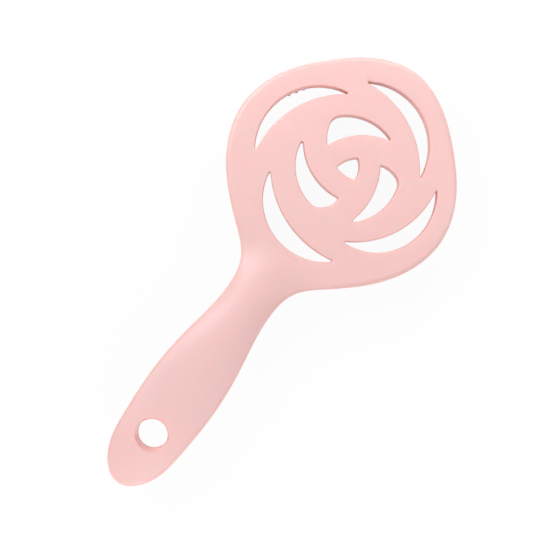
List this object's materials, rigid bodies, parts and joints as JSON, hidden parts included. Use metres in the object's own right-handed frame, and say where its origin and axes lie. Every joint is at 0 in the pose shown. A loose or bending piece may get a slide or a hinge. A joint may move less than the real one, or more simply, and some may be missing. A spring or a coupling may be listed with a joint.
{
  "type": "vanity hairbrush",
  "caption": "Flat vented hairbrush whose head is cut through as a rose of crescents and petals, with tapered pins along the ribs and a rounded handle with a hang hole.",
  "frame": {"origin": "on the surface that the pins' tips touch, under the middle of the brush's length and width", "axes": "+X along the brush from the handle's end to the head's tip, +Z out of the brush's back, pins pointing to -Z"},
  "size_m": [0.2, 0.0956, 0.0243],
  "materials": {
    "body_plastic": "soft satin, pale rose pink",
    "bed_plastic": "soft satin, pale rose pink",
    "pin_nylon": "smooth nylon, rose pink"
  },
  "bodies": {
    "root": {"back_shell": "body_plastic", "handle_cover": "body_plastic", "pin_bed": "bed_plastic", "bridge_pins": "pin_nylon", "heart_pins_1": "pin_nylon", "heart_pins_2": "pin_nylon", "heart_pins_3": "pin_nylon", "rim_pins_neck_left": "pin_nylon", "rim_pins_neck_right": "pin_nylon", "rim_pins_tip_left": "pin_nylon", "rim_pins_tip_right": "pin_nylon", "ring_pins_1": "pin_nylon", "ring_pins_2": "pin_nylon", "ring_pins_3": "pin_nylon", "ring_pins_4": "pin_nylon", "spoke_pins": "pin_nylon"}
  },
  "joints": []
}
